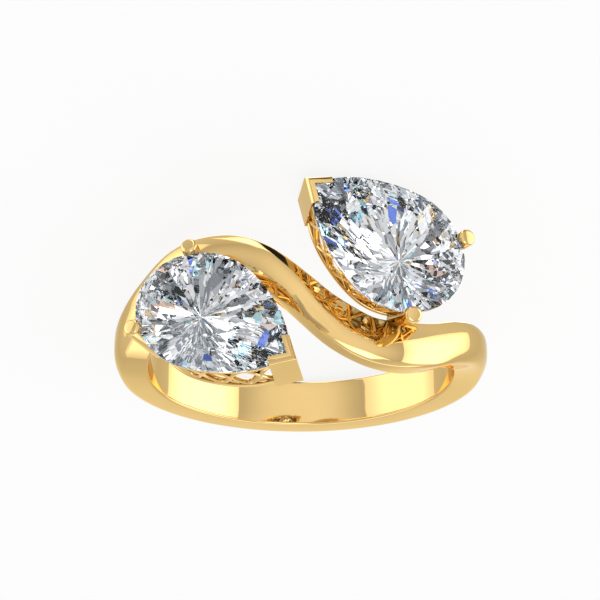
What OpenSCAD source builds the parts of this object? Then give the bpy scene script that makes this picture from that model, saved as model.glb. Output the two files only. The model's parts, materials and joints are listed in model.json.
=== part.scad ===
// Toi et moi ring: an S-shaped band with a pear stone in a V-prong setting on each side of it.
// All sizes are in mm. The ring is modelled round its finger hole, whose middle is the origin and whose
// axis is Y, with the stones at +Z. The last block then lays it on its side as it rests on a table.

/* [Band] */
// Diameter of the finger hole
finger_d = 16.9; // [15:0.1:21]
// Thickness of the shank at the middle of its domed outside
band_t = 1.9; // [1.6:0.05:2.4]
// Width of the shank along the finger
band_w = 2.65; // [2.2:0.05:3.5]
// How far the S swings to each side of the shank's middle
band_sway = 2.55; // [2:0.05:3.2]
// Rounding of the finger hole's two rims
rim_round = 0.14; // [0.08:0.01:0.2]

/* [Stones] */
// Length of each pear stone, from its round end to its point
stone_l = 9.2; // [8:0.1:11]
// Width of each pear stone
stone_w = 6.4; // [5.4:0.1:7.4]
// Distance from a stone's round end to its widest line
stone_round = 3.7; // [3:0.1:4.2]
// Height of the crown over the girdle
crown_h = 0.95; // [0.7:0.05:1.3]
// Depth of the pavilion under the girdle
pavilion_h = 2.55; // [2:0.05:2.8]
// Thickness of the girdle
girdle_t = 0.2; // [0.1:0.05:0.4]
// Width of the table facet
table_w = 3.7; // [3:0.1:4.4]

/* [Settings] */
// Height of a setting from the underside of its lower rail to the girdle's middle
setting_h = 2.7; // [2.2:0.1:3.2]
// Angle round the finger, from the ring's top, where a setting's foot meets the band
foot_angle = 31.3; // [28:0.1:34]
// How deep the middle of a setting's foot is soldered into the band's face
foot_in = -0.04; // [-0.28:0.02:0.2]
// Turn of the stone's point from the line across the finger
point_turn = 145.8; // [140:0.1:150]
// Outward lean of a setting to its own side
lean_out = 14.3; // [10:0.1:18]
// Lean of a setting along the finger
lean_along = 6; // [2:0.1:10]
// How much smaller the lower rail is than the girdle, all round
draw_in = 0.45; // [0.3:0.05:0.6]
// Thickness of the gallery's wall
wall_t = 0.5; // [0.4:0.05:0.7]
// Height of each of the two rails
rail_h = 0.35; // [0.25:0.05:0.5]
// Width of the bars between the gallery's gaps
bar_w = 0.22; // [0.18:0.01:0.3]
// Diameter of a round claw
claw_d = 0.9; // [0.8:0.05:1.1]
// Height of the claws over the girdle's middle
claw_h = 0.75; // [0.6:0.05:1]
// Length of each arm of the V prong
v_arm = 1.45; // [1.2:0.05:2]
// Thickness of the V prong's arms
v_t = 0.4; // [0.3:0.05:0.5]
// Height of the V prong over the girdle's middle
v_h = 0.36; // [0.25:0.01:0.5]
// Width of the bevel round the V prong's top
v_bevel = 0.1; // [0.06:0.01:0.14]
// How far the V prong reaches below the lower rail
v_low = 0.3; // [0.1:0.05:0.5]
// Gap between a stone and the metal of its seat
seat_gap = 0.03; // [0.02:0.01:0.06]

/* [Hidden] */
finger_r = finger_d / 2;

// Band sections.
// One row for each section from the ring's top (0) round the right side to its bottom (180).
// mid: middle line forward of the shank's, as a share of band_sway. wide: width as a share of band_w.
// wall and edge: heights of the flat wall's top and of the dome's edge, and crown: of the dome's
// middle, as shares of band_t. f_wall, f_edge, b_wall, b_edge: how far the wall's top and the dome's
// edge stand in from the front and the back face, as shares of band_w. flat: flatness of the dome.
COLUMNS = ["angle", "mid", "wide", "wall", "edge", "crown", "f_wall", "f_edge", "b_wall", "b_edge", "flat"];
SECTIONS = [
  [  0, 0.00, 1.09, 0.58, 0.66, 0.70, 0.05, 0.29, 0.05, 0.29, 2.0],
  [  5, 0.28, 1.08, 0.55, 0.63, 0.67, 0.05, 0.24, 0.03, 0.30, 2.0],
  [ 10, 0.52, 1.06, 0.52, 0.60, 0.64, 0.04, 0.17, 0.03, 0.33, 2.0],
  [ 17, 0.75, 1.03, 0.49, 0.57, 0.62, 0.02, 0.14, 0.03, 0.38, 2.0],
  [ 25, 0.91, 0.98, 0.50, 0.59, 0.67, 0.01, 0.11, 0.03, 0.36, 2.1],
  [ 35, 0.91, 1.00, 0.60, 0.70, 0.81, 0.01, 0.05, 0.03, 0.22, 2.3],
  [ 45, 0.79, 0.97, 0.68, 0.79, 0.92, 0.01, 0.05, 0.03, 0.12, 2.6],
  [ 60, 0.45, 0.95, 0.66, 0.78, 0.97, 0.01, 0.05, 0.01, 0.06, 3.0],
  [ 75, 0.17, 0.95, 0.65, 0.78, 1.00, 0.01, 0.04, 0.01, 0.05, 3.0],
  [ 90, 0.03, 0.96, 0.68, 0.80, 1.00, 0.01, 0.04, 0.01, 0.04, 3.0],
  [110, 0.00, 0.98, 0.73, 0.86, 1.00, 0.01, 0.04, 0.01, 0.04, 2.8],
  [180, 0.00, 1.01, 0.75, 0.88, 1.00, 0.01, 0.04, 0.01, 0.04, 2.8]
];
section_step = 4;   // degrees between the band's sections
dome_steps = 8;     // flats across its dome

// Smooth value of one column at an angle: a cubic through the rows, with their mean slopes. The middle
// line crosses the ring's top at a slope, and the rest is level there and at the bottom.
function row_slope(i, c) =
  let (n = len(SECTIONS) - 1, a = SECTIONS[max(i - 1, 0)], b = SECTIONS[min(i + 1, n)])
  (i == 0 && COLUMNS[c] == "mid") || (i > 0 && i < n) ? (b[c] - a[c]) / (b[0] - a[0]) : 0;
function row_at(angle) = max([for (i = [0 : len(SECTIONS) - 2]) if (SECTIONS[i][0] <= angle) i]);
function column(name, angle) =
  let (c = search([name], COLUMNS)[0], i = row_at(angle), a = SECTIONS[i], b = SECTIONS[i + 1],
       w = b[0] - a[0], t = (angle - a[0]) / w)
  a[c] * (1 + 2 * t) * (1 - t) * (1 - t) + row_slope(i, c) * w * t * (1 - t) * (1 - t)
  + b[c] * t * t * (3 - 2 * t) - row_slope(i + 1, c) * w * t * t * (1 - t);

// Front and back faces of the band at an angle from -180 to 180. The left half is the right half
// turned half round the Z axis, so its front is the right half's back.
function face_y(angle, side) =
  angle < 0 ? -face_y(-angle, -side)
  : -column("mid", angle) * band_sway + side * column("wide", angle) * band_w / 2;
function inset(angle, side, front_col, back_col) =
  column(side * angle < 0 || (angle == 0 && side < 0) ? front_col : back_col, abs(angle)) * band_w;

// Half a section from its rim inside the finger hole to the dome's edge, as [y, radius] pairs. The
// rim's bevel runs on inwards, past the place where the finger hole cuts it.
rim_slope = 1.2;    // rise of the rim's bevel over its width
rim_past = 2;       // how far it runs on, in rim_rounds
function half_section(angle, side) =
  let (y = face_y(angle, side), a = abs(angle), r = finger_r)
  [
    [y - side * rim_round * (1 + rim_past / rim_slope), r - rim_past * rim_round],
    [y, r + rim_round * rim_slope],
    [y - side * inset(angle, side, "f_wall", "b_wall"), r + column("wall", a) * band_t],
    [y - side * inset(angle, side, "f_edge", "b_edge"), r + column("edge", a) * band_t]
  ];
function dome(angle, front, back) =
  let (a = abs(angle), rise = column("crown", a) * band_t + finger_r - front.y, flat = column("flat", a))
  [for (i = [1 : dome_steps - 1])
    let (u = -cos(180 * i / dome_steps))
    [front.x + (back.x - front.x) * (1 + u) / 2, front.y + rise * (1 - pow(abs(u), flat))]];
function section(angle) =
  let (f = half_section(angle, -1), b = half_section(angle, 1), n = len(f) - 1)
  concat(f, dome(angle, f[n], b[n]), [for (i = [n : -1 : 0]) b[i]]);

band_rings = [for (a = [-180 : section_step : 180 - section_step])
  [for (p = section(a)) [p.y * sin(a), p.x, p.y * cos(a)]]];
module band_blank() {
  m = len(band_rings[0]);
  n = len(band_rings);
  polyhedron(
    points = [for (ring = band_rings) each ring],
    faces = [for (i = [0 : n - 1], j = [0 : m - 1])
      let (a = i * m + j, b = i * m + (j + 1) % m, c = ((i + 1) % n) * m + (j + 1) % m,
           d = ((i + 1) % n) * m + j)
      each [[a, b, c], [a, c, d]]],
    convexity = 8);
}

// Stones.
// A stone's own frame has its widest line on Y, its point on +X and its girdle's middle at Z 0.
// Outline of a pear grown by g, with some steps along each quarter of it, and then made smaller by a
// share: a half ellipse at the round end, and two curves to the point.
side_hold = 0.24;   // how far the sides keep their width, as a share of the pointed part
tip_hold = 0.40;    // how far the point's slope reaches back along it
tip_slope = 67;     // slope of the sides at the very point, in degrees
tip_most = 0.8;     // the most that slope may open towards the full width, as a share of it
function bezier(a, b, c, d, t) =
  a * pow(1 - t, 3) + 3 * b * t * pow(1 - t, 2) + 3 * c * t * t * (1 - t) + d * pow(t, 3);
function pear(g, steps, share = 1) =
  let (h = (stone_l - stone_round + g) * share, w = (stone_w / 2 + g) * share,
       e = (stone_round + g) * share,
       side = [for (i = [0 : steps]) bezier([h, 0],
         [h - tip_hold * h * cos(tip_slope), min(tip_hold * h * sin(tip_slope), w * tip_most)],
         [side_hold * h, w], [0, w], i / steps)])
  concat(side,
    [for (i = [1 : 2 * steps - 1]) [-e * sin(90 * i / steps), w * cos(90 * i / steps)]],
    [for (i = [steps : -1 : 1]) [side[i].x, -side[i].y]]);
function at_height(outline, z) = [for (p = outline) [p.x, p.y, z]];

// Points of a pear brilliant grown by g all round: table, the middles of the kites, girdle, the
// pavilion's lower halves and the culet under the widest line. Its hull is the cut stone.
kite_share = 0.80;  // how far out the kites' middles lie, as a share of the outline
kite_rise = 0.62;   // and how high, as a share of the crown
lower_share = 0.27; // how far out the pavilion's lower halves end
lower_drop = 0.77;  // and how deep, as a share of the pavilion
facet_steps = 4;    // corners of the crown's facets along each quarter of the outline
girdle_steps = 8;   // and of the girdle
function every_other(outline, first) = [for (i = [first : 2 : len(outline) - 1]) outline[i]];
function stone_points(g) =
  let (half = girdle_t / 2 + g)
  concat(
    at_height(every_other(pear(g, facet_steps, table_w / stone_w), 0), half + crown_h),
    at_height(every_other(pear(g, facet_steps, kite_share), 1), half + kite_rise * crown_h),
    at_height(pear(g, girdle_steps), half),
    at_height(pear(g, girdle_steps), -half),
    at_height(every_other(pear(g, facet_steps, lower_share), 1), -half - lower_drop * pavilion_h),
    [[0, 0, -half - pavilion_h]]);
module pear_stone(g = 0) {
  points = stone_points(g);
  hull() polyhedron(points, [[for (i = [0 : len(points) - 1]) i]]);
}

// Settings.
// The gallery's outside follows the girdle at the top and draws in towards its lower rail.
rail_top = -girdle_t / 2;
outline_steps = 6;
function draw_at(z) = draw_in * z / setting_h;

// A pear-shaped wall of thickness t between two heights.
module pear_wall(z0, z1, t) {
  function loop(z, g) = at_height(pear(draw_at(z) + g, outline_steps), z);
  loops = [loop(z0, 0), loop(z1, 0), loop(z1, -t), loop(z0, -t)];
  n = len(loops[0]);
  polyhedron(
    points = [for (loop = loops) each loop],
    faces = [for (k = [0 : 3], i = [0 : n - 1])
      let (a = k * n + i, b = k * n + (i + 1) % n, next = ((k + 1) % 4) * n,
           c = next + (i + 1) % n, d = next + i)
      each [[a, c, b], [a, d, c]]],
    convexity = 6);
}

// The gallery's gaps: a row of leaf shapes, with a fan between them over and under each meeting.
gaps = 14;
leaf_share = 0.56;  // height of a leaf, as a share of the wall between the rails
fan_sag = 0.45;     // height of a fan's lower edge at its quarters, as a share of the fan
function leaf(l, h) = concat(
  [for (i = [0 : 4]) [-l / 2 + l * i / 4, -h / 2 * sin(180 * i / 4)]],
  [for (i = [3 : -1 : 1]) [-l / 2 + l * i / 4, h / 2 * sin(180 * i / 4)]]);
function fan(l, h) = [[-l / 2, h], [-l / 4, h * fan_sag], [0, 0], [l / 4, h * fan_sag], [l / 2, h]];

// Length of an outline from its point to a corner, and a place at a share of it, facing out.
function run_to(outline, i) = i <= 0 ? 0 : run_to(outline, i - 1) + norm(outline[i] - outline[i - 1]);
function closed(outline) = concat(outline, [outline[0]]);
gallery_line = closed(pear(draw_at(-setting_h / 2), 2 * outline_steps));
gallery_run = run_to(gallery_line, len(gallery_line) - 1);
module on_gallery(share) {
  want = share * gallery_run;
  i = max([for (k = [0 : len(gallery_line) - 2]) if (run_to(gallery_line, k) <= want) k]);
  along = gallery_line[i + 1] - gallery_line[i];
  at = gallery_line[i] + along * ((want - run_to(gallery_line, i)) / norm(along));
  translate([at.x, at.y, (rail_top - setting_h) / 2])
    rotate([0, 0, atan2(along.y, along.x)])
      rotate([90, 0, 0])
        translate([0, 0, -2 * wall_t]) linear_extrude(4 * wall_t) children();
}
module gallery() {
  between = setting_h - 2 * rail_h + rail_top;
  pitch = gallery_run / gaps;
  fan_h = (between - bar_w) / 2;
  difference() {
    pear_wall(-setting_h, rail_top, wall_t);
    for (i = [1 : gaps - 1]) on_gallery(i / gaps) polygon(leaf(pitch - bar_w, between * leaf_share));
    for (i = [1 : gaps - 2], up = [-1, 1]) on_gallery((i + 0.5) / gaps)
      polygon([for (p = fan(pitch - 2 * bar_w, fan_h - bar_w / 2)) [p.x, up * (p.y + bar_w)]]);
  }
}

// The V prong: two arms that meet past the stone's point, drawn in like the gallery and bevelled on top.
v_angle = 40.5;    // half the angle between its arms
v_outside = 0.95;  // how much of the arms' thickness lies outside the stone's point, as a share
v_tip = stone_l - stone_round + v_t * v_outside / sin(v_angle);
function v_outline(z, cut) =
  let (x = v_tip + draw_at(z) - cut / sin(v_angle), t = v_t - cut,
       e = (v_arm - cut - cut / tan(v_angle)) * [-cos(v_angle), sin(v_angle)],
       f = e + t * [-sin(v_angle), -cos(v_angle)])
  at_height([[x, 0], [x + e.x, e.y], [x + f.x, f.y], [x - t / sin(v_angle), 0], [x + f.x, -f.y],
             [x + e.x, -e.y]], z);
v_loops = [v_outline(-setting_h - v_low, 0), v_outline(v_h - v_bevel, 0), v_outline(v_h, v_bevel)];
module v_prong() {
  polyhedron(
    points = [for (loop = v_loops) each loop],
    faces = concat([[0, 1, 2, 3], [0, 3, 4, 5], [12, 15, 14, 13], [12, 17, 16, 15]],
      [for (k = [0, 6], i = [0 : 5])
        let (a = k + i, b = k + (i + 1) % 6)
        each [[a, a + 6, b + 6], [a, b + 6, b]]]),
    convexity = 4);
}

// A round claw at an angle round the stone's widest line, leaning with the gallery to a ball end.
claw_angle = 130;      // from the stone's point to each claw
claw_foot_out = 0.1;   // how far a claw's foot stands outside the lower rail
claw_top_out = 0.2;    // how far its ball's middle stands outside the stone's edge
claw_edge = [stone_round * cos(claw_angle), stone_w / 2 * sin(claw_angle)];
claw_out = claw_edge / norm(claw_edge);
claw_low = claw_edge + claw_out * (draw_at(-setting_h) + claw_foot_out);
claw_top = claw_edge + claw_out * claw_top_out;
module claw(side) {
  rise = setting_h + claw_h - claw_d / 2;
  lean = atan2(claw_top_out - claw_foot_out - draw_at(-setting_h), rise);
  translate([claw_low.x, side * claw_low.y, -setting_h])
    rotate([0, lean, side * atan2(claw_out.y, claw_out.x)]) {
      cylinder(h = rise / cos(lean), d = claw_d, $fn = 32);
      translate([0, 0, rise / cos(lean)]) sphere(d = claw_d, $fn = 32);
    }
}

module setting() {
  difference() {
    union() {
      gallery();
      v_prong();
      claw(1);
      claw(-1);
    }
    pear_stone(seat_gap);
  }
}

// Placing.
// The right stone's frame in the ring's: turned round Z, leant to its side and leant along the finger.
// The foot of the claw beside the band is sunk into the band's back face.
foot_height = 0.51;   // how high on the band's side wall the foot meets it, as a share of band_t
function turn_z(p, a) = [p.x * cos(a) - p.y * sin(a), p.x * sin(a) + p.y * cos(a), p.z];
function turn_y(p, a) = [p.x * cos(a) + p.z * sin(a), p.y, p.z * cos(a) - p.x * sin(a)];
function turn_x(p, a) = [p.x, p.y * cos(a) - p.z * sin(a), p.y * sin(a) + p.z * cos(a)];
function turned(p) = turn_x(turn_y(turn_z(p, point_turn), lean_out), lean_along);
foot_r = finger_r + band_t * foot_height;
foot_at = [foot_r * sin(foot_angle), face_y(foot_angle, 1) - foot_in, foot_r * cos(foot_angle)];
stone_at = foot_at - turned([claw_low.x, claw_low.y, -setting_h]);
module right_side() {
  translate(stone_at)
    rotate([lean_along, 0, 0])
      rotate([0, lean_out, 0])
        rotate([0, 0, point_turn])
          children();
}
module left_side() {
  rotate([0, 0, 180]) right_side() children();
}

// Lying: the ring rests on a lower corner of its right V prong and on the shank's back edge, at the
// place where the line from that corner through the centre of mass comes out over the edge.
centre_up = 0.19;   // height of the centre of mass over the hole's middle, as a share of finger_r
corner = stone_at + turned(v_loops[0][5]);
edge = half_section(180, 1)[2];
from_corner = [-corner.x, centre_up * finger_r - corner.z];
corner_xz = [corner.x, corner.z];
back_k = corner_xz * from_corner / (from_corner * from_corner);
run = sqrt(back_k * back_k + (edge.y * edge.y - corner_xz * corner_xz) / (from_corner * from_corner));
edge_xz = corner_xz + from_corner * (run - back_k);
down = cross([edge_xz.x, edge.x, edge_xz.y] - corner, [edge_xz.y, 0, -edge_xz.x]);
tilt_x = atan2(down.z, down.y);
tilt_y = atan2(-down.x, norm([down.y, down.z]));
function lying(p) = turn_y(turn_x([-p.x, -p.z, -p.y], tilt_x), tilt_y);

// The box that the lying ring fills, from its band, stones, V prongs and claw ends.
function on_both(p) = let (q = stone_at + turned(p)) [q, [-q.x, -q.y, q.z]];
claw_ends = [for (s = [-1, 1]) each on_both([claw_top.x, s * claw_top.y, claw_h - claw_d / 2])];
corners = concat(
  [for (ring = band_rings, p = ring) lying(p)],
  [for (p = concat(stone_points(0), v_loops[0], v_loops[1], v_loops[2]), q = on_both(p)) lying(q)],
  [for (q = claw_ends, s = [-1, 1]) lying(q) + s * claw_d / 2 * [1, 1, 1]]);
function least(axis) = min([for (p = corners) p[axis]]);
function most(axis) = max([for (p = corners) p[axis]]);
module on_table() {
  translate([-(least(0) + most(0)) / 2, -(least(1) + most(1)) / 2, -least(2)])
    rotate([tilt_x, tilt_y, 0])
      rotate([90, 180, 0])
        children();
}

module band_and_settings() {
  color([0.90, 0.74, 0.38])
  difference() {
    union() {
      band_blank();
      right_side() setting();
      left_side() setting();
    }
    rotate([90, 0, 0]) cylinder(h = 4 * (band_sway + band_w), r = finger_r, center = true, $fn = 180);
  }
}
module right_stone() {
  color([0.86, 0.90, 0.96]) right_side() pear_stone();
}
module left_stone() {
  color([0.86, 0.90, 0.96]) left_side() pear_stone();
}

on_table() band_and_settings();
on_table() right_stone();
on_table() left_stone();
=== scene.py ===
import json
import math
import bpy
import bmesh
from mathutils import Matrix, Vector


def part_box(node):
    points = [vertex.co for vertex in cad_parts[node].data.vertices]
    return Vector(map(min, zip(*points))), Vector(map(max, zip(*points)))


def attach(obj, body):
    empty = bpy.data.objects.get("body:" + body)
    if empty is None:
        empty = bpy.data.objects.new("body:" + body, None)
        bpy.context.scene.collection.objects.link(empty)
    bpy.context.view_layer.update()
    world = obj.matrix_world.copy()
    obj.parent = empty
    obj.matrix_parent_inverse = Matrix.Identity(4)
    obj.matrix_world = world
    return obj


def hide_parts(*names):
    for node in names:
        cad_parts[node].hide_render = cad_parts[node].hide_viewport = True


# Toi et moi ring in yellow gold: an S-shaped band with a pear stone in a V-prong setting on each side.
# The ring is made round its finger hole, with Y along the finger and the stones at +Z, and each mesh is
# then laid down into the place that the frame's finger hole and stones give.
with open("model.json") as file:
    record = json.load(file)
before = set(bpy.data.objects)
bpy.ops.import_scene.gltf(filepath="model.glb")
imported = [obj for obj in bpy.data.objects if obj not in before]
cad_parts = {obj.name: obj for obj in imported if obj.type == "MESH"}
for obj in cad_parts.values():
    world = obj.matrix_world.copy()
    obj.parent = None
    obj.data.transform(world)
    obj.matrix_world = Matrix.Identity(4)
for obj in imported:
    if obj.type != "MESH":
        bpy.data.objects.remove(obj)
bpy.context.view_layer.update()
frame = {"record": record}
mm = 0.001

hole = frame["record"]["mounts"][0]
hole_at = Vector(hole["pos_m"])
finger_way = -Vector(hole["axis"]).normalized()


def middle_of(node):
    low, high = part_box(node)
    return (low + high) / 2


stones_way = (middle_of("right_stone") + middle_of("left_stone")) / 2 - hole_at
stones_way = (stones_way - finger_way * stones_way.dot(finger_way)).normalized()
across = finger_way.cross(stones_way)
ring_frame = Matrix.Translation(hole_at) @ Matrix((across, finger_way, stones_way)).transposed().to_4x4()

# Camera at the photograph's angle to the ring. The ring lies on its side, so it looks down on the ring
# from in front of the stones, rolled half round, which shows the ring as if it stood upright.
camera_pitch = 1.19893
camera_from = Vector((-0.0347, -45.809, 125.678)) * mm
focal_px = 2405.29
picture_px = 600
sensor_mm = 36
eye = bpy.data.objects.new("camera", bpy.data.cameras.new("camera"))
bpy.context.collection.objects.link(eye)
eye.data.sensor_width = sensor_mm
eye.data.lens = sensor_mm * focal_px / picture_px
eye.data.clip_start = 0.005
eye.data.clip_end = 5
eye.matrix_world = (ring_frame @ Matrix.Translation(camera_from)
                    @ Matrix.Rotation(math.pi / 2 - camera_pitch, 4, "X"))
bpy.context.scene.camera = eye

# Gold of the whole ring: 18 carat yellow gold, polished. The buffing wheel leaves a faint haze on it.
# In its corners and between the gallery's wires, the gold's colour is darkened towards a dull brown: painted
# shade.
gold_deep = (0.84, 0.580, 0.235)
gold_pale = (0.88, 0.615, 0.255)
gold_glancing = (0.97, 0.88, 0.66, 1)
# Dull brown that the shut-in spots are painted with: painted shade.
gold_painted_shade = (0.30, 0.235, 0.135, 1)
haze_per_m = 420
haze_detail = 3
smoothest, roughest = 0.03, 0.075
painted_shade_reach = 1.1 * mm
painted_shade_full, painted_shade_none = 0.15, 0.75
painted_shade_samples = 6


def new_finish(name):
    # A new material with its nodes and its shader.
    finish = bpy.data.materials.new(name)
    finish.use_nodes = True
    return finish, finish.node_tree, finish.node_tree.nodes["Principled BSDF"]


def set_inputs(tree, node, inputs):
    # Each input of a node gets a fixed value, or a link from another node's output.
    for name, value in inputs.items():
        if isinstance(value, bpy.types.NodeSocket):
            tree.links.new(value, node.inputs[name])
        else:
            node.inputs[name].default_value = value


def add_node(tree, kind, inputs=None, **settings):
    # A new node of some kind, with its settings and its inputs.
    node = tree.nodes.new("ShaderNode" + kind)
    for name, value in settings.items():
        setattr(node, name, value)
    set_inputs(tree, node, inputs or {})
    return node


def add_ramp(tree, share, stops, interpolation="LINEAR"):
    # Colours read at a share from 0 to 1, from stops of a place and a colour in rising order.
    ramp = add_node(tree, "ValToRGB", {"Fac": share})
    ramp.color_ramp.interpolation = interpolation
    elements = ramp.color_ramp.elements
    for stop, (position, colour) in ((elements[1], stops[-1]), (elements[0], stops[0])):
        stop.position = position
        stop.color = (*colour, 1)
    for position, colour in stops[1:-1]:
        elements.new(position).color = (*colour, 1)
    return ramp.outputs["Color"]


gold, tree, shine = new_finish("polished_gold")
where = add_node(tree, "TexCoord")
haze = add_node(tree, "TexNoise", {"Vector": where.outputs["Object"], "Scale": haze_per_m,
                                   "Detail": haze_detail}).outputs["Fac"]
tint = add_ramp(tree, haze, ((0.3, gold_deep), (0.7, gold_pale)))
# Painted shade: the more nearby metal shuts a spot in, the more its colour goes over to the dull brown.
openness = add_node(tree, "AmbientOcclusion", {"Distance": painted_shade_reach}, samples=painted_shade_samples)
painted_shade_fade = add_node(tree, "MapRange", {"Value": openness.outputs["AO"], "From Min": painted_shade_full,
                                     "From Max": painted_shade_none})
colour = add_node(tree, "MixRGB", {"Fac": painted_shade_fade.outputs["Result"], "Color1": gold_painted_shade, "Color2": tint})
buffed = add_node(tree, "MapRange", {"Value": haze, "To Min": smoothest, "To Max": roughest})
set_inputs(tree, shine, {"Metallic": 1, "Specular Tint": gold_glancing,
                         "Base Color": colour.outputs["Color"], "Roughness": buffed.outputs["Result"]})

# Band: one bar of gold, drawn round the finger and swept over the top as an S. It has a comfortable
# rounded rim inside, flat side walls and a domed outside, whose edges the polishing has softened.
finger_r = 8.45 * mm
band_t = 1.9 * mm
band_w = 2.65 * mm
band_sway = 2.55 * mm
rim_round = 0.07 * mm
rim_slope = 1.2
polished_off = 0.009 * mm
edge_soft = 0.09 * mm
edge_most = 0.45
section_step = 2
dome_steps = 16
hole_steps = 5

# One row for each section from the ring's top (0) round the right side to its bottom (180).
# mid: middle line forward of the shank's, as a share of band_sway. wide: width as a share of band_w.
# wall and edge: heights of the flat wall's top and of the dome's edge, and crown: of the dome's
# middle, as shares of band_t. f_wall, f_edge, b_wall, b_edge: how far the wall's top and the dome's
# edge stand in from the front and the back face, as shares of band_w. flat: flatness of the dome.
COLUMNS = ("angle", "mid", "wide", "wall", "edge", "crown", "f_wall", "f_edge", "b_wall", "b_edge", "flat")
SECTIONS = (
    (0, 0.00, 1.09, 0.58, 0.66, 0.70, 0.05, 0.29, 0.05, 0.29, 2.0),
    (5, 0.28, 1.08, 0.55, 0.63, 0.67, 0.05, 0.24, 0.03, 0.30, 2.0),
    (10, 0.52, 1.06, 0.52, 0.60, 0.64, 0.04, 0.17, 0.03, 0.33, 2.0),
    (17, 0.75, 1.03, 0.49, 0.57, 0.62, 0.02, 0.14, 0.03, 0.38, 2.0),
    (25, 0.91, 0.98, 0.50, 0.59, 0.67, 0.01, 0.11, 0.03, 0.36, 2.1),
    (35, 0.91, 1.00, 0.60, 0.70, 0.81, 0.01, 0.05, 0.03, 0.22, 2.3),
    (45, 0.79, 0.97, 0.68, 0.79, 0.92, 0.01, 0.05, 0.03, 0.12, 2.6),
    (60, 0.45, 0.95, 0.66, 0.78, 0.97, 0.01, 0.05, 0.01, 0.06, 3.0),
    (75, 0.17, 0.95, 0.65, 0.78, 1.00, 0.01, 0.04, 0.01, 0.05, 3.0),
    (90, 0.03, 0.96, 0.68, 0.80, 1.00, 0.01, 0.04, 0.01, 0.04, 3.0),
    (110, 0.00, 0.98, 0.73, 0.86, 1.00, 0.01, 0.04, 0.01, 0.04, 2.8),
    (180, 0.00, 1.01, 0.75, 0.88, 1.00, 0.01, 0.04, 0.01, 0.04, 2.8),
)


def row_slope(i, c):
    # The middle line crosses the ring's top at a slope. The rest is level there and at the bottom.
    last = len(SECTIONS) - 1
    if not (0 < i < last or (i == 0 and COLUMNS[c] == "mid")):
        return 0
    a, b = SECTIONS[max(i - 1, 0)], SECTIONS[min(i + 1, last)]
    return (b[c] - a[c]) / (b[0] - a[0])


def column(name, angle):
    # Smooth value of one column at an angle: a cubic through the rows, with their mean slopes.
    c = COLUMNS.index(name)
    i = max(k for k in range(len(SECTIONS) - 1) if SECTIONS[k][0] <= angle)
    a, b = SECTIONS[i], SECTIONS[i + 1]
    w = b[0] - a[0]
    t = (angle - a[0]) / w
    start = a[c] * (1 + 2 * t) * (1 - t) ** 2 + row_slope(i, c) * w * t * (1 - t) ** 2
    return start + b[c] * t * t * (3 - 2 * t) - row_slope(i + 1, c) * w * t * t * (1 - t)


def face_y(angle, side):
    # The front (-1) or back (1) face. The left half is the right half turned half round.
    if angle < 0:
        return -face_y(-angle, -side)
    return -column("mid", angle) * band_sway + side * column("wide", angle) * band_w / 2


def stands_in(angle, side, part):
    front = side * angle < 0 or (angle == 0 and side < 0)
    return column(("f_" if front else "b_") + part, abs(angle)) * band_w


def band_corner(angle, side, corner):
    # A corner of a section, as its place along the finger and its radius round it.
    y, a = face_y(angle, side), abs(angle)
    if corner == "rim":
        return Vector((y - side * rim_round, finger_r))
    if corner == "side":
        return Vector((y, finger_r + rim_slope * rim_round))
    height = finger_r + column(corner, a) * band_t - polished_off
    return Vector((y - side * stands_in(angle, side, corner), height))


def softened(before, corner, after):
    # Four places on a curve that rounds a corner off.
    start = corner + before.normalized() * min(edge_soft, before.length * edge_most)
    end = corner + after.normalized() * min(edge_soft, after.length * edge_most)
    return [start.lerp(corner, t).lerp(corner.lerp(end, t), t) for t in (0, 0.33, 0.67, 1)]


def band_section(angle):
    # Up the front face, over the dome, down the back face and back through the hole.
    corners = ("rim", "side", "wall", "edge")
    front = [band_corner(angle, -1, corner) for corner in corners]
    back = [band_corner(angle, 1, corner) for corner in corners]
    rise = finger_r + column("crown", abs(angle)) * band_t - polished_off - front[-1].y
    flat = column("flat", abs(angle))
    dome = []
    for k in range(1, dome_steps):
        u = 2 * k / dome_steps - 1
        dome.append(Vector((front[-1].x + (back[-1].x - front[-1].x) * (1 + u) / 2,
                            front[-1].y + rise * (1 - abs(u) ** flat))))
    hole_line = [back[0].lerp(front[0], k / hole_steps) for k in range(1, hole_steps)]
    outline = front + dome + back[::-1] + hole_line
    section = []
    for k, p in enumerate(outline):
        if p in front or p in back:
            section += softened(outline[k - 1] - p, p, outline[(k + 1) % len(outline)] - p)
        else:
            section.append(p)
    return section


def spun_loop(work, count, steps):
    # A loop of vertices spun all round Z, each with its share of the turn and its number in the loop.
    number = work.verts.layers.int.new("step")
    loop = []
    for k in range(count):
        a = 2 * math.pi * k / count
        loop.append(work.verts.new((1 + 0.1 * math.cos(a), 0, 0.1 * math.sin(a))))
        loop[k][number] = k
    edges = [work.edges.new((loop[k], loop[(k + 1) % count])) for k in range(count)]
    bmesh.ops.spin(work, geom=loop + edges, cent=(0, 0, 0), axis=(0, 0, 1), dvec=(0, 0, 0),
                   angle=2 * math.pi, steps=steps, use_merge=True, use_duplicate=False)
    return [(v, math.atan2(v.co.y, v.co.x) / (2 * math.pi) % 1, v[number]) for v in work.verts]


def face_outwards(work):
    work.normal_update()
    bmesh.ops.recalc_face_normals(work, faces=work.faces)


def as_object(work, name):
    mesh = bpy.data.meshes.new(name)
    work.to_mesh(mesh)
    work.free()
    made = bpy.data.objects.new(name, mesh)
    bpy.context.collection.objects.link(made)
    return made


def finished(work, name, node, place=Matrix.Identity(4), smooth=True):
    # The worked mesh is laid into the row as one piece that stands for a part of the frame.
    face_outwards(work)
    work.transform(ring_frame @ place)
    piece = as_object(work, name)
    for face in piece.data.polygons:
        face.use_smooth = smooth
    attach(piece, "root")
    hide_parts(node)
    return piece


def dress_in_gold(piece):
    # Large faces keep their flat shading, and the small ones between them take the curve.
    piece.data.materials.append(gold)
    even = piece.modifiers.new("even_shading", "WEIGHTED_NORMAL")
    even.keep_sharp = True


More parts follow.
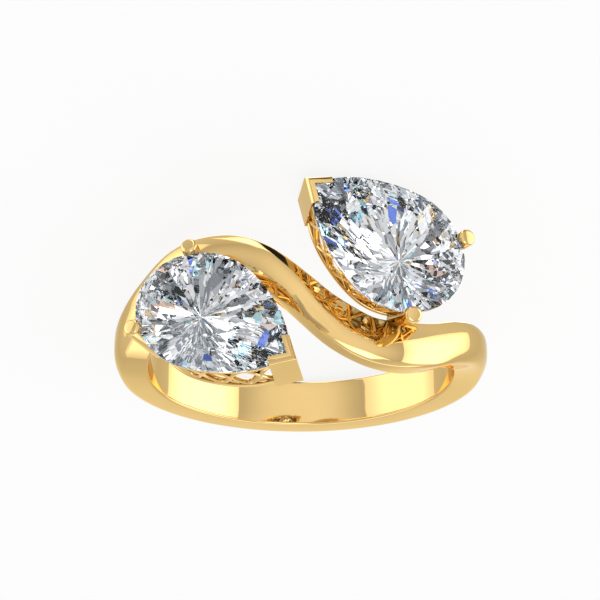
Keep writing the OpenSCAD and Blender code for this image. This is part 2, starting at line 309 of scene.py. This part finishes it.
bar = bmesh.new()
sections = [band_section(angle) for angle in range(-180, 180, section_step)]
for v, turn, step in spun_loop(bar, len(sections[0]), len(sections)):
    k = (round(turn * len(sections)) + len(sections) // 2) % len(sections)
    angle = math.radians(section_step * k - 180)
    y, r = sections[k][step]
    v.co = Vector((r * math.sin(angle), y, r * math.cos(angle)))
band = finished(bar, "band", "band_and_settings")
dress_in_gold(band)

# Settings: each a pear-shaped gallery of crossing wires between two rails, with a V prong on the
# stone's point and two round claws at its round end, all of gold and soldered to the band's sides.
# A setting is made in its stone's own frame: the widest line on Y, the point on +X, the girdle at Z 0.
stone_l = 9.2 * mm
stone_w = 6.4 * mm
stone_round = 3.7 * mm
crown_h = 0.95 * mm
pavilion_h = 2.55 * mm
girdle_t = 0.2 * mm
table_w = 3.7 * mm
side_hold = 0.24
tip_hold = 0.40
tip_slope = math.radians(67)
tip_most = 0.8
setting_h = 2.7 * mm
draw_in = 0.45 * mm
wall_t = 0.5 * mm
rail_h = 0.35 * mm
rail_round = 0.13 * mm
rail_cuts = 3
wire_half_w = 0.15 * mm
wire_half_t = 0.2 * mm
wire_short = 0.02 * mm
wire_sunk = 0.02 * mm
gaps = 14
outline_steps = 32
wire_steps = 12
wire_sides = 10


def bezier(a, b, c, d, t):
    return a * (1 - t) ** 3 + 3 * b * t * (1 - t) ** 2 + 3 * c * t * t * (1 - t) + d * t ** 3


def pear(grown, steps, share=1.0):
    # A pear's outline grown all round, with some steps along each quarter of it, and then made smaller
    # by a share: half an ellipse at the round end, and two curves to the point.
    h = (stone_l - stone_round + grown) * share
    w = (stone_w / 2 + grown) * share
    e = (stone_round + grown) * share
    tip_handle = Vector((h - tip_hold * h * math.cos(tip_slope),
                         min(tip_hold * h * math.sin(tip_slope), w * tip_most)))
    handles = (Vector((h, 0)), tip_handle, Vector((side_hold * h, w)), Vector((0, w)))
    side = [bezier(*handles, i / steps) for i in range(steps + 1)]
    end = [Vector((-e * math.sin(math.pi / 2 * i / steps), w * math.cos(math.pi / 2 * i / steps)))
           for i in range(1, 2 * steps)]
    return side + end + [Vector((p.x, -p.y)) for p in reversed(side[1:])]


def draw_at(z):
    # The gallery's outside follows the girdle at the top and draws in towards its lower rail.
    return draw_in * z / setting_h


middle_line = pear(draw_at(-setting_h / 2), outline_steps)
middle_line.append(middle_line[0])
runs = [0.0]
for a, b in zip(middle_line, middle_line[1:]):
    runs.append(runs[-1] + (b - a).length)
known_pears = {}


def pear_line(grown):
    # An outline is worked out once, and kept for the next time that it is asked for.
    key = round(grown / mm, 4)
    if key not in known_pears:
        known_pears[key] = pear(grown, outline_steps)
    return known_pears[key]


def on_wall(share, z, out):
    # A place on the gallery's wall: a share of the way round it from the stone's point, a height, and
    # how far out it stands from the wall's outside.
    want = share % 1 * runs[-1]
    i = max(k for k in range(len(runs) - 1) if runs[k] <= want)
    t = (want - runs[i]) / (runs[i + 1] - runs[i])
    line = pear_line(draw_at(z) + out)
    p = line[i] * (1 - t) + line[(i + 1) % len(line)] * t
    return Vector((p.x, p.y, z))


def add_rail(work, low, high):
    # A flat ring between two heights, with rounded corners.
    r = rail_round
    section = []
    for quarter, (z, out) in enumerate(((high - r, -r), (high - r, -wall_t + r),
                                        (low + r, -wall_t + r), (low + r, -r))):
        for k in range(rail_cuts + 1):
            a = math.pi / 2 * (quarter + k / rail_cuts)
            section.append((z + r * math.sin(a), out + r * math.cos(a)))
    outlines = [pear(draw_at(z) + out, outline_steps) for z, out in section]
    around = len(outlines[0])
    for v, turn, step in spun_loop(work, len(section), around):
        p = outlines[step][round(turn * around) % around]
        v.co = Vector((p.x, p.y, section[step][0]))


def add_wire(work, up):
    # A round wire that swings between the rails, half a wave at each gap. A second one, which starts
    # the other way, crosses it.
    top, bottom = -girdle_t / 2 - rail_h, -setting_h + rail_h
    middle = (top + bottom) / 2
    swing = (top - bottom) / 2 - wire_short
    for v, turn, step in spun_loop(work, wire_sides, wire_steps * gaps):
        phase = math.pi * gaps * turn
        a = 2 * math.pi * step / wire_sides
        slope = up * swing * math.pi * gaps / runs[-1] * math.cos(phase)
        length = math.hypot(1, slope)
        off = wire_half_w * math.cos(a)
        share = turn - off * slope / length / runs[-1]
        z = middle + up * swing * math.sin(phase) + off / length
        v.co = on_wall(share, z, -wall_t / 2 - wire_sunk + wire_half_t * math.sin(a))


v_angle = math.radians(40.5)
v_outside = 0.95
v_arm = 1.45 * mm
v_t = 0.4 * mm
v_h = 0.36 * mm
v_bevel = 0.1 * mm
v_low = 0.3 * mm
v_round = 0.28 * mm
v_foot_round = 0.12 * mm
edge_cuts = 6


def round_edges(work, edges, width):
    bmesh.ops.bevel(work, geom=edges, offset=width, offset_type="OFFSET", affect="EDGES",
                    segments=edge_cuts, profile=0.5, material=-1, clamp_overlap=True)


def v_outline(z):
    # The arms' outline at a height, from their outside corner along one arm and back by the other.
    x = stone_l - stone_round + v_t * v_outside / math.sin(v_angle) + draw_at(z)
    ex, ey = -v_arm * math.cos(v_angle), v_arm * math.sin(v_angle)
    fx, fy = ex - v_t * math.sin(v_angle), ey - v_t * math.cos(v_angle)
    inner = x - v_t / math.sin(v_angle)
    return [Vector((px, py, z)) for px, py in ((x, 0), (x + ex, ey), (x + fx, fy), (inner, 0),
                                               (x + fx, -fy), (x + ex, -ey))]


def add_v_prong(work):
    # Two arms, rounded along their outer top edges and round their foot.
    low = v_outline(-setting_h - v_low)
    high = [Vector((p.x, p.y, v_h)) for p in v_outline(v_h - v_bevel)]
    foot = work.faces.new([work.verts.new(p) for p in low])
    grown = bmesh.ops.extrude_face_region(work, geom=[foot])["geom"]
    corners = {}
    for v in [v for v in grown if isinstance(v, bmesh.types.BMVert)]:
        k = min(range(len(low)), key=lambda n: (v.co - low[n]).length)
        v.co = high[k]
        corners[v] = k
    outer = [e for e in work.edges if {corners.get(v) for v in e.verts} in ({0, 1}, {0, 5})]
    under = [e for e in work.edges if not any(v in corners for v in e.verts)]
    round_edges(work, outer, v_round)
    round_edges(work, under, v_foot_round)


claw_d = 0.9 * mm
claw_h = 0.75 * mm
claw_angle = math.radians(130)
claw_foot_out = 0.1 * mm
claw_top_out = 0.2 * mm
claw_cap_h = 0.34 * claw_d
claw_cap_round = 0.17 * mm
claw_foot_round = 0.1 * mm
claw_sides = 40
claw_edge = Vector((stone_round * math.cos(claw_angle), stone_w / 2 * math.sin(claw_angle)))
claw_out = claw_edge.normalized()
claw_low = claw_edge + claw_out * (draw_at(-setting_h) + claw_foot_out)
claw_top = claw_edge + claw_out * claw_top_out


def add_claw(work, side):
    # A round rod that leans out with the gallery, with a flat cap whose rim is rounded.
    rise = setting_h + claw_h - claw_d / 2
    lean = math.atan2((claw_top - claw_low).length, rise)
    length = rise / math.cos(lean) + claw_cap_h
    place = (Matrix.Translation((claw_low.x, side * claw_low.y, -setting_h))
             @ Matrix.Rotation(side * math.atan2(claw_out.y, claw_out.x), 4, "Z")
             @ Matrix.Rotation(lean, 4, "Y") @ Matrix.Translation((0, 0, length / 2)))
    bmesh.ops.create_cone(work, cap_ends=True, segments=claw_sides, radius1=claw_d / 2,
                          radius2=claw_d / 2, depth=length, matrix=place)
    for end in [f for f in work.faces if len(f.verts) == claw_sides]:
        high = (place.inverted() @ end.calc_center_median()).z > 0
        round_edges(work, list(end.edges), claw_cap_round if high else claw_foot_round)


# The foot of the claw beside the band is sunk into the band's back face. The right stone's frame is
# turned round Z, leant to its side and leant along the finger, and the left one is turned half round.
foot_angle = math.radians(31.3)
foot_height = 0.51
foot_in = -0.04 * mm
point_turn = math.radians(145.8)
lean_out = math.radians(14.3)
lean_along = math.radians(6)
foot_r = finger_r + band_t * foot_height
foot_at = Vector((foot_r * math.sin(foot_angle), face_y(math.degrees(foot_angle), 1) - foot_in,
                  foot_r * math.cos(foot_angle)))
turned = (Matrix.Rotation(lean_along, 4, "X") @ Matrix.Rotation(lean_out, 4, "Y")
          @ Matrix.Rotation(point_turn, 4, "Z"))
right_side = Matrix.Translation(foot_at - turned @ Vector((claw_low.x, claw_low.y, -setting_h))) @ turned
left_side = Matrix.Rotation(math.pi, 4, "Z") @ right_side

facet_steps = 4
girdle_steps = 8
kite_share, kite_rise = 0.80, 0.62
lower_share, lower_drop = 0.30, 0.74
culet = Vector((-0.5 * mm, 0))
seat_gap = 0.02 * mm


def add_stone(work, grown=0.0):
    # A pear brilliant's corners, row by row from the table to the culet, in their hull.
    half = girdle_t / 2 + grown
    rows = ((pear(grown, facet_steps, table_w / stone_w)[0::2], half + crown_h),
            (pear(grown, facet_steps, kite_share)[1::2], half + kite_rise * crown_h),
            (pear(grown, girdle_steps), half),
            (pear(grown, girdle_steps), -half),
            (pear(grown, girdle_steps, lower_share)[1::2], -half - lower_drop * pavilion_h),
            ([culet], -half - pavilion_h))
    corners = [work.verts.new((p.x, p.y, z)) for outline, z in rows for p in outline]
    hull = bmesh.ops.convex_hull(work, input=corners)
    inside = [v for v in hull["geom_interior"] if isinstance(v, bmesh.types.BMVert)]
    bmesh.ops.delete(work, geom=inside, context="VERTS")


def cut_seat(work, cutter):
    # The seat is cut into the metal with the stone's own shape, a hair larger.
    face_outwards(work)
    uncut = as_object(work, "uncut")
    cut = uncut.modifiers.new("seat", "BOOLEAN")
    cut.operation = "DIFFERENCE"
    cut.solver = "EXACT"
    cut.object = cutter
    result = bmesh.new()
    result.from_object(uncut, bpy.context.evaluated_depsgraph_get())
    bpy.data.objects.remove(uncut)
    return result


blank = bmesh.new()
add_stone(blank, seat_gap)
face_outwards(blank)
seat_cutter = as_object(blank, "seat_cutter")

setting_mesh = bpy.data.meshes.new("setting")
setting = bmesh.new()
for add, *sizes in ((add_rail, -setting_h, -setting_h + rail_h),
                    (add_rail, -girdle_t / 2 - rail_h, -girdle_t / 2),
                    (add_wire, 1), (add_wire, -1), (add_v_prong,), (add_claw, 1), (add_claw, -1)):
    work = bmesh.new()
    add(work, *sizes)
    work = cut_seat(work, seat_cutter)
    work.to_mesh(setting_mesh)
    work.free()
    setting.from_mesh(setting_mesh)
bpy.data.objects.remove(seat_cutter)

crease = math.radians(35)
for name, place in (("right_setting", right_side), ("left_setting", left_side)):
    piece = finished(setting.copy(), name, "band_and_settings", place)
    piece.data.set_sharp_from_angle(angle=crease)
    dress_in_gold(piece)
setting.free()

# Stones: two pear brilliants of clear diamond. Each facet is cut flat and polished, and the pavilion has
# many long narrow facets that run out from the culet and break the light up like crushed ice, partly by the
# way they are tipped and partly by painted reflections.
# The clear part is the crown and the girdle, with the faintest cast of blue.
cast_per_m = 300
cast_blue = (0.95, 0.97, 1.0)
clear = (1.0, 1.0, 1.0)
refraction = 1.5
diamond, tree, glass = new_finish("clear_diamond")
where = add_node(tree, "TexCoord")
growth = add_node(tree, "TexNoise", {"Vector": where.outputs["Object"], "Scale": cast_per_m})
water = add_ramp(tree, growth.outputs["Fac"], ((0.0, cast_blue), (1.0, clear)))
set_inputs(tree, glass, {"Base Color": water, "Roughness": 0, "IOR": refraction, "Transmission Weight": 1})

# The pavilion's inside is a mirror. Its own long facets are drawn on a map of turns round the culet by the
# way out from it: each is tipped a little its own way. Each is also painted bright, grey, dark or with a
# flash of colour: painted reflections and painted glints of fire.
facets_round, facets_out = 58, 13
facet_tip = 0.35
# Painted reflections and painted glints of fire: the colours that the pavilion's facets are painted with,
# picked by a random share.
PAINTED_FACET_REFLECTIONS = (
    (0.0, (0.30, 0.32, 0.34)),
    (0.16, (0.55, 0.57, 0.59)),
    (0.34, (0.88, 0.90, 0.92)),
    (0.52, clear),
    (0.955, (0.20, 0.32, 0.95)),
    (0.972, (0.60, 0.92, 1.0)),
    (0.985, (1.0, 0.65, 0.5)),
    (0.994, clear),
)
back_facets, tree, mirror = new_finish("pavilion_facets")
where = add_node(tree, "TexCoord")
spread = add_node(tree, "VectorMath", {0: where.outputs["UV"], 1: (facets_round, facets_out, 0)},
                  operation="MULTIPLY")
facets = add_node(tree, "TexVoronoi", {"Vector": spread.outputs["Vector"], "Scale": 1},
                  voronoi_dimensions="2D")
chance = add_node(tree, "SeparateColor", {"Color": facets.outputs["Color"]})
# Painted reflection: each facet's mirror colour is one of these shades or flashes, picked at random.
painted_flash = add_ramp(tree, chance.outputs["Red"], PAINTED_FACET_REFLECTIONS, "CONSTANT")
flat_side = add_node(tree, "NewGeometry")
either_way = add_node(tree, "VectorMath", {0: facets.outputs["Color"], 1: (0.5, 0.5, 0.5)},
                      operation="SUBTRACT")
tip = add_node(tree, "VectorMath", {0: either_way.outputs["Vector"], "Scale": facet_tip}, operation="SCALE")
tipped = add_node(tree, "VectorMath", {0: flat_side.outputs["Normal"], 1: tip.outputs["Vector"]},
                  operation="ADD")
facing = add_node(tree, "VectorMath", {0: tipped.outputs["Vector"]}, operation="NORMALIZE")
set_inputs(tree, mirror, {"Metallic": 1, "Roughness": 0, "Base Color": painted_flash,
                          "Normal": facing.outputs["Vector"]})


def map_facets(work):
    # The map: turns round the culet, and the way out from it. A corner at the culet itself takes the
    # turn of its own face.
    uv = work.loops.layers.uv.new("facets")
    for face in work.faces:
        middle = face.calc_center_median().xy - culet
        for corner in face.loops:
            from_culet = corner.vert.co.xy - culet
            past_middle = middle.angle_signed(from_culet, 0) if from_culet.length > 0.001 * mm else 0
            turn = math.atan2(middle.y, middle.x) - past_middle
            corner[uv].uv = (turn / (2 * math.pi) + 0.5, from_culet.length / stone_l)


same_facet = math.radians(0.2)
pavilion_slope = -0.1
for name, node, place in (("right_pear", "right_stone", right_side), ("left_pear", "left_stone", left_side)):
    work = bmesh.new()
    add_stone(work)
    bmesh.ops.dissolve_limit(work, angle_limit=same_facet, verts=work.verts, edges=work.edges)
    bmesh.ops.triangulate(work, faces=work.faces)
    map_facets(work)
    piece = finished(work, name, node, place, smooth=False)
    piece.data.materials.append(diamond)
    piece.data.materials.append(back_facets)
    up = (ring_frame @ place).to_3x3() @ Vector((0, 0, 1))
    for face in piece.data.polygons:
        face.material_index = 1 if face.normal.dot(up) < pavilion_slope else 0

# Floor and light: a plain pale lit table, and round the ring large soft lamps and two dark cards, whose
# reflections give the gold its bright and dark bands and the stones their contrast. The camera sees the
# table alone, and the polished metal and the stones see the lamps, the cards and the room alone.
table_r = 1.5
table_sides = 64
table_grey = (0.12, 0.12, 0.12, 1)
table_glow = 0.86
table = bmesh.new()
bmesh.ops.create_circle(table, cap_ends=True, segments=table_sides, radius=table_r)
floor = as_object(table, "floor")
floor.visible_glossy = False
floor.visible_transmission = False
paper, tree, pale = new_finish("pale_floor")
set_inputs(tree, pale, {"Base Color": table_grey, "Roughness": 1, "Specular IOR Level": 0,
                        "Emission Color": (1, 1, 1, 1), "Emission Strength": table_glow})
floor.data.materials.append(paper)

lamp_far = 0.5
panel_half = 0.5
panel_core = 0.2


def softbox(name, azimuth, rise, middle, rim):
    # A lamp or card that fills a patch of the reflections, given as two ranges in degrees: azimuth from
    # the ring's front round to its right, and rise towards the stones. Its light goes over from its
    # middle's strength to its rim's.
    a, e = math.radians(sum(azimuth) / 2), math.radians(sum(rise) / 2)
    away = Vector((math.sin(a) * math.cos(e), -math.cos(a) * math.cos(e), math.sin(e)))
    away = ring_frame.to_3x3() @ away
    sideways = stones_way.cross(away).normalized()
    width = 2 * lamp_far * math.tan(math.radians(azimuth[1] - azimuth[0]) / 2 * math.cos(e))
    height = 2 * lamp_far * math.tan(math.radians(rise[1] - rise[0]) / 2)
    work = bmesh.new()
    bmesh.ops.create_grid(work, x_segments=1, y_segments=1, size=panel_half)
    panel = as_object(work, name)
    panel.matrix_world = (Matrix.Translation(hole_at + away * lamp_far)
                          @ Matrix((sideways, away.cross(sideways), away)).transposed().to_4x4()
                          @ Matrix.Diagonal((width, height, 1, 1)))
    panel.visible_camera = False
    panel.visible_shadow = False
    glow = bpy.data.materials.new(name)
    glow.use_nodes = True
    tree = glow.node_tree
    tree.nodes.clear()
    where = add_node(tree, "TexCoord")
    split = add_node(tree, "SeparateXYZ", {"Vector": where.outputs["Object"]})
    x, y = (add_node(tree, "Math", {0: split.outputs[axis]}, operation="ABSOLUTE") for axis in "XY")
    off_middle = add_node(tree, "Math", {0: x.outputs["Value"], 1: y.outputs["Value"]}, operation="MAXIMUM")
    falloff = add_node(tree, "MapRange", {"Value": off_middle.outputs["Value"], "From Min": panel_core,
                                          "From Max": panel_half, "To Min": middle, "To Max": rim},
                       interpolation_type="SMOOTHSTEP")
    light = add_node(tree, "Emission", {"Strength": falloff.outputs["Result"]})
    add_node(tree, "OutputMaterial", {"Surface": light.outputs["Emission"]})
    panel.data.materials.append(glow)


softbox("right_softbox", (58, 126), (-33, 40), 2.4, 1.5)
softbox("left_softbox", (-140, -72), (-33, 36), 1.75, 1.2)
softbox("front_softbox", (-10, 44), (37, 60), 2.9, 1.4)
softbox("low_front_softbox", (-38, 46), (-48, -22), 1.7, 1.0)
softbox("back_softbox", (-179, -157), (3, 42), 2.6, 1.3)
softbox("low_back_softbox", (165, 195), (-68, -36), 2.6, 1.7)
softbox("back_flag", (164, 181), (-6, 42), 0.02, 0.05)
softbox("left_flag", (-94, -24), (56, 72), 0.45, 0.70)

# The room round them: bright overhead and underneath and greyer between, as seen from the ring, by the
# degrees over its middle towards the stones.
ROOM_SHADES = ((-90, 1.0), (-75, 0.96), (-60, 0.74), (-48, 0.66), (-30, 0.76), (0, 0.80), (30, 0.68),
               (38, 0.60), (46, 0.72), (58, 0.94), (70, 1.04), (90, 1.0))
room = bpy.data.worlds.new("studio")
bpy.context.scene.world = room
room.use_nodes = True
tree = room.node_tree
way = add_node(tree, "TexCoord")
rise = add_node(tree, "VectorMath", {0: way.outputs["Generated"], 1: stones_way}, operation="DOT_PRODUCT")
height = add_node(tree, "MapRange", {"Value": rise.outputs["Value"], "From Min": -1, "From Max": 1})
shades = [((math.sin(math.radians(angle)) + 1) / 2, (shade, shade, shade)) for angle, shade in ROOM_SHADES]
walls = add_ramp(tree, height.outputs["Result"], shades)
set_inputs(tree, tree.nodes["Background"], {"Color": walls})

# The picture keeps the colours as they are lit, and the light may go on from facet to facet for long.
stone_bounces = 24
gold_bounces = 8
bpy.context.scene.view_settings.view_transform = "Standard"
bpy.context.scene.cycles.max_bounces = stone_bounces
bpy.context.scene.cycles.transmission_bounces = stone_bounces
bpy.context.scene.cycles.glossy_bounces = gold_bounces
